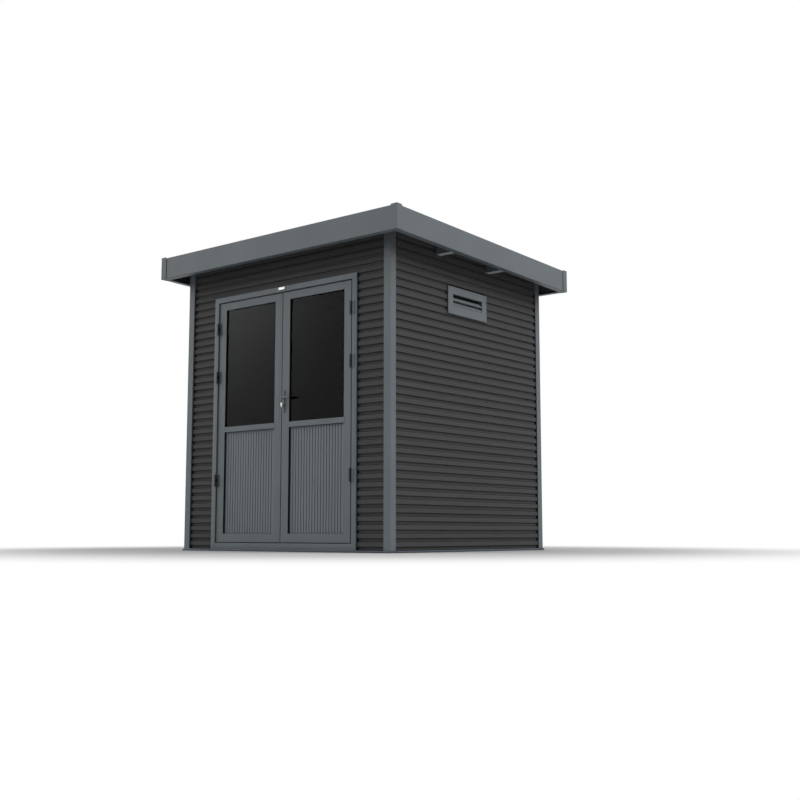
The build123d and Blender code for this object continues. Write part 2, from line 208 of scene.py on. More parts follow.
# %% [markdown]
# ### Handing a piece over
#
# Every piece needs a finish, a body that it moves with, and often a solid that it stands for. They could be
# stated one by one beside each piece, but one helper keeps them together, so that none is forgotten.

# %% Finish a piece
def finish(piece, material, body, slot, *replaced):
    """Gives a piece its finish, the body that it rides on, and the solids that it stands for."""
    if material is not None:
        piece.data.materials.clear()
        piece.data.materials.append(material)
    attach(piece, body)
    if replaced:
        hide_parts(*replaced)
    return piece


# %% [markdown]
# ## Finishes
#
# The shed has few finishes: brushed composite boards, powder coat, smoked glass, rubber and steel. Each
# could be one flat colour, but real ones vary. Every finish below reads Object coordinates, which run in
# metres over the whole shed, so grain and flecks have their true scale on each piece.

# %% Start a material
def new_material(name):
    """A new material, its node tree and its shader."""
    material = bpy.data.materials.new(name)
    material.use_nodes = True
    tree = material.node_tree
    shader = tree.nodes["Principled BSDF"]
    return material, tree, shader


def put(tree, kind, links=(), **values):
    """Adds a node, sets its properties and sockets by name, and links sockets to it."""
    node = tree.nodes.new(kind)
    for name, value in values.items():
        if hasattr(node, name):
            setattr(node, name, value)
        else:
            node.inputs[name.replace("_", " ")].default_value = value
    for name, source in links:
        tree.links.new(source, node.inputs[name])
    return node


# %% [markdown]
# ### Noise, shades and bumps
#
# Real finishes vary a little from place to place, in colour and in height. Pictures could hold that, but
# nodes stay sharp at any distance and need no file. Each finish below is built from the same three steps:
# noise that can be stretched along an axis, a ramp that turns it into two close shades, and a bump.

# %% Noise, shades and bumps
def stretched_noise(tree, scale, detail, stretch=(1, 1, 1)):
    """Noise on Object coordinates, with its own scale along each axis."""
    place = put(tree, "ShaderNodeTexCoord")
    mapping = put(tree, "ShaderNodeMapping", [("Vector", place.outputs["Object"])], Scale=stretch)
    return put(
        tree, "ShaderNodeTexNoise", [("Vector", mapping.outputs["Vector"])], Scale=scale, Detail=detail
    )


def shade_ramp(tree, source, dark, light, low=0.35, high=0.65):
    """Turns noise into a colour between two close shades."""
    ramp = put(tree, "ShaderNodeValToRGB", [("Fac", source)])
    ramp.color_ramp.elements[0].position = low
    ramp.color_ramp.elements[0].color = (*dark, 1)
    ramp.color_ramp.elements[1].position = high
    ramp.color_ramp.elements[1].color = (*light, 1)
    return ramp


def bump_from(tree, shader, source, strength, distance):
    """Bumps a shader by a height, in metres."""
    bump = put(tree, "ShaderNodeBump", [("Height", source)], Strength=strength, Distance=distance)
    tree.links.new(bump.outputs["Normal"], shader.inputs["Normal"])


# %% [markdown]
# ### Powder coat
#
# Posts, doors, frame and fascias are aluminium with a baked powder coat, which is even in colour and has a
# fine orange-peel skin. It could be a single grey, but then a long post would look cut from paper. A very
# weak noise shifts the shade, and a fine one bumps the surface by about a hundredth of a millimetre.

# %% Powder coat
coat_shift = 0.04
coat_specular = 0.2


def powder_coat(name, colour, roughness=0.5):
    """A satin coat with a faint shift of shade and a fine orange-peel skin."""
    material, tree, shader = new_material(name)
    patches = stretched_noise(tree, scale=3, detail=2)
    dark = [c * (1 - coat_shift) for c in colour]
    light = [c * (1 + coat_shift) for c in colour]
    shade = shade_ramp(tree, patches.outputs["Fac"], dark, light)
    tree.links.new(shade.outputs["Color"], shader.inputs["Base Color"])
    shader.inputs["Roughness"].default_value = roughness
    shader.inputs["Specular IOR Level"].default_value = coat_specular
    peel = stretched_noise(tree, scale=900, detail=2)
    bump_from(tree, shader, peel.outputs["Fac"], strength=0.25, distance=0.05 * mm)
    return material


anthracite = powder_coat("anthracite_powder_coat", (0.134, 0.153, 0.166))
# The panels are the same anthracite on the real shed; this coat is painted lighter, as painted sheen on the
# ribs.
sheened_panel_coat = powder_coat("panel_coat_painted_sheen", (0.158, 0.179, 0.192), 0.45)
roof_steel = powder_coat("coated_roof_steel", (0.065, 0.07, 0.075), 0.5)
sill_coat = powder_coat("sill_powder_coat", (0.06, 0.07, 0.09), 0.4)
hinge_coat = powder_coat("hinge_powder_coat", (0.02, 0.024, 0.03), 0.35)
# This coat is darker than the anthracite, as painted shadow of the hinge barrels on the leaf plates; the
# hinge screws take it too.
shadowed_plate_coat = powder_coat("hinge_plate_painted_shadow_coat", (0.07, 0.08, 0.088))
# The purlin's underside is painted lighter than its coat, as painted light bounced up from the floor.
purlin_painted_light = powder_coat("purlin_painted_light_coat", (0.38, 0.40, 0.42))
screen_coat = powder_coat("screen_wire_coat", (0.46, 0.42, 0.39))
print("coats:", anthracite.name, roof_steel.name, sill_coat.name, hinge_coat.name, shadowed_plate_coat.name)

# %% [markdown]
# ### Brushed composite boards
#
# The cladding is wood-plastic composite: charcoal, matt, and brushed along its length. Grain could be drawn
# board by board, but noise that is 150 times finer upwards than along the wall gives the brush lines on all
# of them. A random shade for each course keeps neighbouring boards from looking cut from one sheet.

# %% Composite cladding
grain_spread = 0.14
course_spread = 0.05


def composite(name, colour):
    """Brushed composite: fine lines along the board, and one shade of its own for each course."""
    material, tree, shader = new_material(name)
    lines = stretched_noise(tree, scale=1, detail=4, stretch=(6, 6, 900))
    dark = [c * (1 - grain_spread) for c in colour]
    light = [c * (1 + grain_spread) for c in colour]
    shade = shade_ramp(tree, lines.outputs["Fac"], dark, light, low=0.3, high=0.7)
    place = put(tree, "ShaderNodeTexCoord")
    height = put(tree, "ShaderNodeSeparateXYZ", [("Vector", place.outputs["Object"])])
    courses_up = put(tree, "ShaderNodeMath", [(0, height.outputs["Z"])], operation="SUBTRACT")
    courses_up.inputs[1].default_value = sill_top
    count = put(tree, "ShaderNodeMath", [(0, courses_up.outputs[0])], operation="DIVIDE")
    count.inputs[1].default_value = course
    whole = put(tree, "ShaderNodeMath", [(0, count.outputs[0])], operation="FLOOR")
    board = put(tree, "ShaderNodeTexWhiteNoise", [("W", whole.outputs[0])], noise_dimensions="1D")
    gain = put(tree, "ShaderNodeMapRange", [("Value", board.outputs["Value"])])
    gain.inputs["To Min"].default_value = 1 - course_spread
    gain.inputs["To Max"].default_value = 1 + course_spread
    mix = put(tree, "ShaderNodeVectorMath", [(0, shade.outputs["Color"])], operation="SCALE")
    tree.links.new(gain.outputs["Result"], mix.inputs["Scale"])
    tree.links.new(mix.outputs["Vector"], shader.inputs["Base Color"])
    shader.inputs["Roughness"].default_value = 0.72
    shader.inputs["Specular IOR Level"].default_value = 0.12
    bump_from(tree, shader, lines.outputs["Fac"], strength=0.35, distance=0.15 * mm)
    return material


cladding = composite("charcoal_composite", (0.064, 0.064, 0.065))
lining = composite("brown_composite_lining", (0.085, 0.070, 0.062))
print("composites:", cladding.name, lining.name)

# %% [markdown]
# ### Brushed steel
#
# The key cylinder, the plate on the door head, the lock plates and some screws are bare steel. A metal
# shader alone looks like chrome, so fine brush lines vary its shade and roughen it.

# %% Brushed steel
def brushed_steel(name, colour, roughness):
    """Bare metal with fine brush lines."""
    material, tree, shader = new_material(name)
    lines = stretched_noise(tree, scale=1, detail=3, stretch=(2500, 2500, 60))
    dark = [c * 0.9 for c in colour]
    light = [c * 1.08 for c in colour]
    shade = shade_ramp(tree, lines.outputs["Fac"], dark, light)
    tree.links.new(shade.outputs["Color"], shader.inputs["Base Color"])
    shader.inputs["Metallic"].default_value = 1
    shader.inputs["Roughness"].default_value = roughness
    bump_from(tree, shader, lines.outputs["Fac"], strength=0.15, distance=0.03 * mm)
    return material


steel = brushed_steel("brushed_stainless_steel", (0.60, 0.60, 0.585), 0.5)
print("metal:", steel.name)

# %% [markdown]
# ### Seal rubber
#
# Gaskets and seals are black rubber with a grey bloom. Pure black would look like a hole, so a soft noise
# lifts the shade a little and the skin is slightly uneven. Its gloss is held low, as on old rubber.

# %% Seal rubber
def black_rubber(name):
    """Matt rubber with a soft bloom."""
    material, tree, shader = new_material(name)
    bloom = stretched_noise(tree, scale=60, detail=3)
    dark = (0.006, 0.006, 0.006)
    light = (0.014, 0.014, 0.015)
    shade = shade_ramp(tree, bloom.outputs["Fac"], dark, light)
    tree.links.new(shade.outputs["Color"], shader.inputs["Base Color"])
    shader.inputs["Roughness"].default_value = 0.65
    shader.inputs["Specular IOR Level"].default_value = 0.1
    bump_from(tree, shader, bloom.outputs["Fac"], strength=0.2, distance=0.05 * mm)
    return material


# The same black rubber also serves as painted shade: in the strips at the board ends, in the reveals and in
# the key slot.
rubber = black_rubber("seal_rubber")
print("seals:", rubber.name)

# %% [markdown]
# ### Smoked glass
#
# The panes are tinted glass in front of a dark room. A black gloss could fake them, but an open door shows
# what lies behind. Each pane is a closed thin solid, so one refracting shader with a dark tint is enough.
# Its index of refraction is low, because a full one mirrors more of the white studio than the photo shows.

# %% Smoked glass
def smoked_glass(name, tint):
    """Dark see-through glass with the slightest waviness."""
    material, tree, shader = new_material(name)
    wave = stretched_noise(tree, scale=4, detail=1)
    shade = shade_ramp(tree, wave.outputs["Fac"], [c * 0.97 for c in tint], tint)
    tree.links.new(shade.outputs["Color"], shader.inputs["Base Color"])
    shader.inputs["Roughness"].default_value = 0.02
    shader.inputs["IOR"].default_value = 1.15
    shader.inputs["Transmission Weight"].default_value = 1
    bump_from(tree, shader, wave.outputs["Fac"], strength=0.05, distance=0.2 * mm)
    return material


glass = smoked_glass("smoked_glass", (0.22, 0.235, 0.25))
print("glass:", glass.name)

# %% [markdown]
# ## Profiles with eased edges
#
# Posts, stiles, rails and the door frame already have their true shape as solids, but a solid's edges are
# knife sharp, and extruded metal never is. The edges could be modelled one by one. Here a copy of each
# solid is merged into clean faces, a Bevel modifier eases its edges, and the copy stands for the solid.
# Faces within a degree of flat are merged, and edges sharper than 35 degrees are eased. The fine grooves
# that this leaves between two pieces are the joints that the real shed shows.

# %% Ease the edges of a solid
slots = {part["node"]: part["material_slot"] for part in frame["record"]["subparts"]}
flat_within = 1
ease_from = 35


def eased(node, material, ease):
    """A copy of a solid with eased edges, which stands for it."""
    work = bmesh.new()
    work.from_mesh(nodes[node].data)
    bmesh.ops.remove_doubles(work, verts=work.verts, dist=merge_distance)
    flat = math.radians(flat_within)
    bmesh.ops.dissolve_limit(work, angle_limit=flat, verts=work.verts, edges=work.edges)
    mesh = bpy.data.meshes.new(node + "_finished")
    work.to_mesh(mesh)
    work.free()
    piece = bpy.data.objects.new(node + "_finished", mesh)
    scene.collection.objects.link(piece)
    bevel = piece.modifiers.new("eased_edges", "BEVEL")
    bevel.width = ease
    bevel.segments = 2
    bevel.limit_method = "ANGLE"
    bevel.angle_limit = math.radians(ease_from)
    soften(piece, ease_from)
    return finish(piece, material, nodes[node]["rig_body"], slots[node], node)


print("finish slots:", sorted(set(slots.values())))

# %% [markdown]
# ### Which finish goes where
#
# Most solids of a kind share a coat and an edge: all posts, all parts of a leaf, all plates of a hinge. A
# line for each solid would work, but a table by the start of the name is shorter, and a new solid of a
# known kind finds its finish by itself. The longest start that fits wins.

# %% Table of finishes
profile_ease = 0.8 * mm
beam_ease = 2 * mm
plate_ease = 1 * mm
hinge_ease = 0.7 * mm
extrusions = {
    "post_": (anthracite, profile_ease),
    "door_frame_": (anthracite, profile_ease),
    "left_door_": (anthracite, profile_ease),
    "right_door_": (anthracite, profile_ease),
    "vent_": (anthracite, profile_ease),
    "purlins": (anthracite, beam_ease),
    "end_roof_beams": (anthracite, beam_ease),
    "side_top_rails": (anthracite, beam_ease),
    "sill_": (sill_coat, plate_ease),
    "door_head_plate": (steel, plate_ease),
    "right_door_handle_plates": (anthracite, 1.5 * mm),
    "right_door_lever": (anthracite, 2 * mm),
    "right_door_lock_cylinder": (steel, profile_ease),
    # The leaf hinge plates take the darker coat, as painted shadow of the barrels.
    "left_door_hinges": (shadowed_plate_coat, hinge_ease),
    "right_door_hinges": (shadowed_plate_coat, hinge_ease),
    "door_frame_left_hinges": (anthracite, hinge_ease),
    "door_frame_right_hinges": (anthracite, hinge_ease),
}
left_as_solids = {
    "roof_sheet": roof_steel,
    "left_door_glass": glass,
    "right_door_glass": glass,
}
drawn_later = ("wall", "ribbed_panel", "fascia")
print("kinds of profile:", len(extrusions))

# %% [markdown]
# ### Two coats on one piece
#
# A hinge is one solid, but its barrels are darker than its plates. The underside of a purlin is painted
# lighter, as painted light bounced up from the floor. They could be split into pieces. A second material
# on the faces that pass a test gives the same look and keeps the piece whole.

# %% Second coats
hinge_plate = 3 * mm
hair = 0.1 * mm
nearly_facing = 0.9


def second_coat(piece, material, wanted):
    """Gives the faces that pass a test a second finish."""
    piece.data.materials.append(material)
    for face in piece.data.polygons:
        if wanted(face):
            face.material_index = 1


def coat_barrels(piece):
    """Gives what stands in front of the hinge plates the darker coat of the barrels."""
    behind = "door_frame_head" if piece.name.startswith("door_frame") else "left_door_stiles"
    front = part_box(behind)[0].y - hinge_plate
    second_coat(piece, hinge_coat, lambda face: face.center.y < front - hair)


def paint_undersides_lighter(piece):
    """Paints the faces that face down lighter, as painted light bounced up from the floor."""
    second_coat(piece, purlin_painted_light, lambda face: face.normal.z < -nearly_facing)


# %% [markdown]
# ### Every profile at once
#
# The roof sheet and the panes are right as they are, and only take their material. Walls, door panels and
# fascias are drawn anew further down. All that is left is extruded metal, so a loop eases it.

# %% Ease all profiles
eased_count = 0
for node, solid in nodes.items():
    if node in left_as_solids:
        solid.data.materials.clear()
        solid.data.materials.append(left_as_solids[node])
    elif not any(word in node for word in drawn_later):
        prefix = max((p for p in extrusions if node.startswith(p)), key=len)
        piece = eased(node, *extrusions[prefix])
        eased_count += 1
        if node.endswith("hinges"):
            coat_barrels(piece)
        if node == "purlins":
            paint_undersides_lighter(piece)
print("eased", eased_count, "solids")

# %% [markdown]
# ## A tree that repeats a piece
#
# Boards, ribs and screws all repeat in rows. Copies could be made one by one, but a Geometry Nodes tree
# needs only a count and a step. The tree below has named inputs for the piece, the start, the step and the
# count. Every tree here starts with named inputs, and ends in real geometry with its material.

# %% Start and end of a tree
def new_tree(name, inputs):
    """A Geometry Nodes tree with named inputs and one geometry output."""
    tree = bpy.data.node_groups.new(name, "GeometryNodeTree")
    for label, kind in inputs:
        tree.interface.new_socket(label, in_out="INPUT", socket_type="NodeSocket" + kind)
    tree.interface.new_socket("Geometry", in_out="OUTPUT", socket_type="NodeSocketGeometry")
    return tree, tree.nodes.new("NodeGroupInput"), tree.nodes.new("NodeGroupOutput")


def end_tree(tree, given, copies, result):
    """Makes the copies real, gives them the tree's material and sends them out."""
    real = put(tree, "GeometryNodeRealizeInstances", [("Geometry", copies.outputs["Instances"])])
    painted = put(
        tree,
        "GeometryNodeSetMaterial",
        [("Geometry", real.outputs["Geometry"]), ("Material", given.outputs["Material"])],
    )
    tree.links.new(painted.outputs["Geometry"], result.inputs["Geometry"])


# %% [markdown]
# ### Row tree
#
# A course of boards and a rib of a panel both repeat by a fixed step. An Array modifier could do it, but it
# can't take its piece from another object. The row tree sets a copy of the piece on each point of a line.

# %% Row tree
def row_tree():
    """Copies one piece along a line."""
    inputs = [
        ("Piece", "Object"),
        ("Start", "Vector"),
        ("Step", "Vector"),
        ("Count", "Int"),
        ("Material", "Material"),
    ]
    tree, given, result = new_tree("row_of_pieces", inputs)
    piece = put(tree, "GeometryNodeObjectInfo", [("Object", given.outputs["Piece"])])
    line = put(
        tree,
        "GeometryNodeMeshLine",
        [
            ("Count", given.outputs["Count"]),
            ("Start Location", given.outputs["Start"]),
            ("Offset", given.outputs["Step"]),
        ],
        mode="OFFSET",
    )
    copies = put(
        tree,
        "GeometryNodeInstanceOnPoints",
        [("Points", line.outputs["Mesh"]), ("Instance", piece.outputs["Geometry"])],
    )
    end_tree(tree, given, copies, result)
    return tree


rows = row_tree()
print("tree", rows.name, "has", len(rows.nodes), "nodes")

# %% [markdown]
# ### Running a tree once
#
# A tree could stay live on its object, but the boards are cut by planes afterwards. So the result is kept
# as a plain mesh and the modifier is taken off. An input is set by its identifier, which is what a modifier
# stores, and not by the name that a reader sees.

# %% Grow a piece from a tree
def grow(name, tree, **values):
    """Runs a tree on an empty object, and keeps its result as a plain mesh."""
    grown = bpy.data.objects.new(name, bpy.data.meshes.new(name + "_seed"))
    scene.collection.objects.link(grown)
    modifier = grown.modifiers.new(tree.name, "NODES")
    modifier.node_group = tree
    for item in tree.interface.items_tree:
        if item.in_out == "INPUT":
            modifier[item.identifier] = values[item.name]
    view = bpy.context.evaluated_depsgraph_get()
    mesh = bpy.data.meshes.new_from_object(grown.evaluated_get(view), depsgraph=view)
    grown.modifiers.remove(modifier)
    grown.data = mesh
    mesh.name = name
    return grown


# %% [markdown]
# ## Cladding boards
#
# Each wall is a stack of boards that hook into each other. A board shows a flat face above a wide recess,
# and a thin dark slit at the foot of the recess is the joint to the board below. One board is drawn as a
# section, the tree stacks it, and the stack is trimmed by planes where the roof, the door or the vent
# cuts it.

# %% Draw one board
joint_slit = 2.5 * mm
joint_depth = 6 * mm
board_round = 2 * mm


def board_section():
    """Section of one board: distance in from the wall's face, and height."""
    return rounded([
        (groove_depth + joint_depth, 0, 0),
        (groove_depth + joint_depth, joint_slit, 0),
        (groove_depth, joint_slit, board_round / 2),
        (groove_depth, groove_height, board_round / 2),
        (0, groove_height, board_round),
        (0, course, board_round),
        (wall_thick, course, 0),
        (wall_thick, 0, 0),
    ])


print("a board has", len(board_section()), "points round its section")

# %% [markdown]
# ### Cutting a piece by a plane
#
# On the real shed the top board is sawn along the roof. A Boolean could do that, but a plane cut is
# faster and leaves clean faces. It drops what lies past the plane and closes the cut.

# %% Trim by a plane
def trim(piece, point, outward):
    """Cuts a piece by a plane, drops what lies outward of it, and closes the cut."""
    work = bmesh.new()
    work.from_mesh(piece.data)
    cut = bmesh.ops.bisect_plane(
        work,
        geom=work.verts[:] + work.edges[:] + work.faces[:],
        plane_co=point,
        plane_no=outward,
        clear_outer=True,
        dist=merge_distance / 2,
    )
    open_edges = [e for e in cut["geom_cut"] if isinstance(e, bmesh.types.BMEdge) and e.is_boundary]
    bmesh.ops.holes_fill(work, edges=open_edges)
    work.to_mesh(piece.data)
    work.free()


# %% [markdown]
# ### Stacking the boards of a wall
#
# A wall faces the front, the back, the left or the right, and its boards run along it. Four functions could
# place them, but one rule is enough: it goes in from the wall's face by the depth of a section point. The
# courses are counted from the base, so that their grooves meet round the corners.

# %% Stack the boards of one wall
part_course = 0.01


def wall_end(low, high, outward, corner):
    """Rule that places a section point at one end of a wall, where corner is."""
    if outward.y:
        face = low.y if outward.y < 0 else high.y
        return lambda depth, height: Vector((corner.x, face - outward.y * depth, height))
    face = low.x if outward.x < 0 else high.x
    return lambda depth, height: Vector((face - outward.x * depth, corner.y, height))


def stack_boards(node, outward):
    """Boards in place of one wall solid. outward is the way that the wall faces."""
    low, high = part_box(node)
    first = math.floor((low.z - sill_top) / course + part_course)
    count = math.ceil((high.z - sill_top) / course - part_course) - first
    bottom = sill_top + first * course
    near = wall_end(low, high, outward, low)
    far = wall_end(low, high, outward, high)
    board = bar(node + "_board", board_section(), near, far)
    stack = grow(
        node + "_boards",
        rows,
        Piece=board,
        Start=(0, 0, bottom),
        Step=(0, 0, course),
        Count=count,
        Material=cladding,
    )
    bpy.data.objects.remove(board)
    if bottom < low.z - hair:
        trim(stack, (0, 0, low.z), (0, 0, -1))
    return stack


# %% [markdown]
# ### Top and inside of a wall
#
# The side walls rise to the sloping roof, and walls that end below it are cut level. Inside, the boards
# show a brownish back, which could be a sheet of its own. As on the real board it is the same piece, so the
# faces that look into the shed take a second material.

# %% Top and inside of a wall
roof_normal = Vector((0, slope, 1)).normalized()
lining_reach = 0.5 * mm


def cut_to_roof(wall, node, outward):
    """Cuts the top of a wall along the roof, or level where the wall ends below it."""
    low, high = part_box(node)
    if outward.x and high.z > fascia_back[0].z:
        trim(wall, (0, low.y, high.z), roof_normal)
    else:
        trim(wall, (0, 0, high.z), (0, 0, 1))


def line_inside(wall, outward):
    """Gives the faces that look into the shed the finish of the lining."""
    wall.data.materials.append(lining)
    outer_face = right_wall[1].x if outward.x else back_wall[1].y
    for face in wall.data.polygons:
        depth = outer_face - abs(face.center.dot(outward))
        if face.normal.dot(outward) < -nearly_facing and depth > wall_thick - lining_reach:
            face.material_index = 1


# %% [markdown]
# ### All walls
#
# The right wall is in four pieces round the vent and the front wall in three round the door, as the solids
# are. Each piece could be clad by hand, but a table of the ways that they face lets one loop do it.

# %% Clad every wall
to_front = Vector((0, -1, 0))
to_back = Vector((0, 1, 0))
to_left = Vector((-1, 0, 0))
to_right = Vector((1, 0, 0))
walls = {
    "front_wall_left": to_front,
    "front_wall_right": to_front,
    "front_wall_over_door": to_front,
    "back_wall": to_back,
    "left_wall": to_left,
    "right_wall_below_vent": to_right,
    "right_wall_front_of_vent": to_right,
    "right_wall_behind_vent": to_right,
    "right_wall_above_vent": to_right,
}
for node, outward in walls.items():
    wall = stack_boards(node, outward)
    cut_to_roof(wall, node, outward)
    line_inside(wall, outward)
    soften(wall)
    finish(wall, None, "shed", "composite_cladding", node)
    print(wall.name, len(wall.data.polygons), "faces")

# %% [markdown]
# ## Fascias
#
# The fascias are folded from sheet, so their edges are bends and not knife edges, and a bend catches a thin
# line of light. A bevel modifier could round them, but the section is simple, so the bends are arcs in it.

# %% Section of a fascia
def fascia_section():
    """Folded sheet: distance in from its face, and height over its lower edge."""
    height = fascia_front[1].z - fascia_front[0].z
    flange = fascia_front[1].y - fascia_front[0].y
    lip = 20 * mm
    sheet = 2.5 * mm
    bend = 5 * mm
    return rounded([
        (lip, height, 0),
        (0, height, bend),
        (0, 0, bend),
        (flange, 0, 0),
        (flange, sheet, 0),
        (sheet, sheet, bend - sheet),
        (sheet, height - sheet, bend - sheet),
        (lip, height - sheet, 0),
    ], steps=5)


print("a fascia has", len(fascia_section()), "points round its section")

# %% [markdown]
# ### Four fascias round the roof
#
# The front and back fascias are level, and the side ones fall with the roof. Each could be modelled flat and
# then turned, but then its ends would no longer fit. Here each end is placed by a rule that goes in by the
# section's own depth, which is a mitre, and down by the fall of the roof.

# %% Folded fascias
def fascia(name, near, far):
    """One folded fascia between two mitred ends."""
    sheet = bar(name + "_sheet", fascia_section(), near, far)
    return finish(sheet, anthracite, "shed", "painted_aluminium", name)


def make_fascias():
    """Four folded fascias that follow the fall of the roof."""
    front = fascia_front[0].z
    for name, end in (("fascia_front", -1), ("fascia_back", 1)):
        base = front - roof_drop(end * eave.y)
        fascia(
            name,
            lambda d, h: Vector((d - eave.x, end * (eave.y - d), base + h)),
            lambda d, h: Vector((eave.x - d, end * (eave.y - d), base + h)),
        )
    for name, side in (("fascia_left", -1), ("fascia_right", 1)):
        fascia(
            name,
            lambda d, h: Vector((side * (eave.x - d), d - eave.y, front - roof_drop(d - eave.y) + h)),
            lambda d, h: Vector((side * (eave.x - d), eave.y - d, front - roof_drop(eave.y - d) + h)),
        )


make_fascias()
print("fascias", round(2 * eave.x / mm), "by", round(2 * eave.y / mm), "mm")

# %% [markdown]
# ### Easing the edges of a new piece
#
# A piece that is made here has its shading modifier already, and a bevel that came after it would spoil the
# shading. It could be added by hand in the right order. This helper adds it and moves it to the front.

# %% Ease a new piece
def ease_edges(piece, width):
    """Rounds a piece's edges by a bevel that runs before its shading."""
    bevel = piece.modifiers.new("eased_edges", "BEVEL")
    bevel.width = width
    bevel.segments = 2
    piece.modifiers.move(1, 0)


# %% [markdown]
# ## Corner caps
#
# Two mitred fascias leave an open joint, and a folded angle covers it on each corner. Two flat plates could
# stand for the angle, but a bevel tears where they overlap. So each cap is one closed L-shaped plan that is
# raised to its height, and its upper ends fall away towards the tips of its legs.

# %% Corner caps
cap_leg = 55 * mm
cap_slant = 7 * mm
cap_ease = 1.2 * mm


def make_caps():
    """An angle plate on each corner of the fascias, with slanted upper ends."""
    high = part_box("fascia_corner_caps")[1]
    thick = high.x - eave.x
    short = cap_leg - cap_slant
    plan = [
        (0, 0),
        (short, 0),
        (cap_leg, 0),
        (cap_leg, thick),
        (short, thick),
        (thick, thick),
        (thick, short),
        (thick, cap_leg),
        (0, cap_leg),
        (0, short),
    ]
    tiles = [(0, 1, 4, 5), (1, 2, 3, 4), (0, 5, 6, 9), (9, 6, 7, 8)]
    count = len(plan)
    vertices = []
    faces = []
    for side in (-1, 1):
        for end in (-1, 1):
            base = fascia_front[0].z - roof_drop(end * eave.y)
            top = base + high.z - fascia_front[0].z
            first = len(vertices)
            for level in (0, 1):
                for across, along in plan:
                    height = top - cap_slant if cap_leg in (across, along) else top
                    place = (side * (high.x - across), end * (high.y - along), height if level else base)
                    vertices.append(place)
                faces += [tuple(first + level * count + k for k in tile) for tile in tiles]
            for k in range(count):
                after = (k + 1) % count
                faces.append((first + k, first + after, first + count + after, first + count + k))
    caps = mesh_object("corner_caps", vertices, faces)
    ease_edges(caps, cap_ease)
    return finish(caps, anthracite, "shed", "painted_aluminium", "fascia_corner_caps")


print("caps", [round(v / mm) for v in make_caps().dimensions], "mm over all")

# %% [markdown]
# ## Ribbed door panels
#
# The lower half of each leaf is a panel with soft upright ribs. A displaced grid could fake them, but real
# ribs have a clean section, so one rib is drawn first, from the middle of one valley to the next.

# %% Section of a rib
rib_pitch = 26.3 * mm
rib_valley = 7.5 * mm
rib_depth = 5.5 * mm
rib_slant = 3 * mm
rib_foot_round = 1.5 * mm
rib_crest_round = 2 * mm


def rib_section(depth):
    """Plan of one rib: across the panel, and in from its face."""
    half = rib_pitch / 2
    flat = half - rib_valley / 2
    return rounded([
        (-half, rib_depth, 0),
        (-flat - rib_slant, rib_depth, rib_foot_round),
        (-flat, 0, rib_crest_round),
        (flat, 0, rib_crest_round),
        (flat + rib_slant, rib_depth, rib_foot_round),
        (half, rib_depth, 0),
        (half, depth, 0),
        (-half, depth, 0),
    ])


print("ribs every", round(rib_pitch / mm, 1), "mm,", round(rib_depth / mm, 1), "mm deep")

# %% [markdown]
# ### Ribs across a panel
#
# The row tree sets whole ribs side by side, as many as the width takes. What is left of the width stays
# open as a narrow line at either side, in the shade of the stiles.

# %% Ribbed panels
def ribbed_panel(name, body):
    """Whole ribs across one leaf, their count, and the margin at either end of the row."""
    low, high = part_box(name)
    width = high.x - low.x
    depth = high.y - low.y
    count = int((width + hair) // rib_pitch)
    margin = (width - count * rib_pitch) / 2
    rib = bar(
        name + "_rib",
        rib_section(depth),
        lambda a, d: Vector((a, low.y + d, low.z)),
        lambda a, d: Vector((a, low.y + d, high.z)),
    )
    panel = grow(
        name + "_ribs",
        rows,
        Piece=rib,
        Start=(low.x + margin + rib_pitch / 2, 0, 0),
        Step=(rib_pitch, 0, 0),
        Count=count,
        Material=sheened_panel_coat,
    )
    bpy.data.objects.remove(rib)
    soften(panel)
    return finish(panel, None, body, "painted_aluminium", name), count, margin


for side in ("left", "right"):
    panel, count, margin = ribbed_panel(f"{side}_door_ribbed_panel", f"{side}_door")
    print(panel.name, count, "ribs, margin", round(margin / mm, 1), "mm")

# %% [markdown]
# ## Gaskets
#
# Each pane and each panel sits between black rubber gaskets. They are thin, and they line the whole depth of
# the reveal, so their black is partly a real gasket and partly painted shade in the reveal. A bevelled curve
# could run round the opening, but a gasket has square corners, so each one is mitred bars round an opening,
# and one function makes them all.

# %% Ring round an opening
def ring(name, low, high, width, near_y, far_y, material, body, slot, sides=4):
    """Mitred bars inside an upright opening: right, top, left and, for four sides, the foot."""
    corners = [(low.x, low.z), (high.x, low.z), (high.x, high.z), (low.x, high.z)]
    inner = [
        (low.x + width, low.z + width),
        (high.x - width, low.z + width),
        (high.x - width, high.z - width),
        (low.x + width, high.z - width),
    ]
    if sides == 3:
        inner[0] = (low.x + width, low.z)
        inner[1] = (high.x - width, low.z)
    vertices = [(x, y, z) for y in (near_y, far_y) for x, z in corners + inner]
    faces = []
    spans = [(1, 2), (2, 3), (3, 0)] + ([(0, 1)] if sides == 4 else [])
    for a, b in spans:
        faces.append((a, b, b + 4, a + 4))
        faces.append((a + 8, b + 8, b + 12, a + 12))
        faces.append((a, b, b + 8, a + 8))
        faces.append((a + 4, b + 4, b + 12, a + 12))
    if sides == 3:
        faces += [(0, 4, 12, 8), (1, 5, 13, 9)]
    return finish(mesh_object(name, vertices, faces), material, body, slot)


# %% [markdown]
# ### Gaskets in the leaves
#
# Each leaf holds a pane and a panel, and each of them has a gasket in front and one behind. Eight rings
# could be placed one by one, but their places all follow from the boxes of the filling and the stiles.

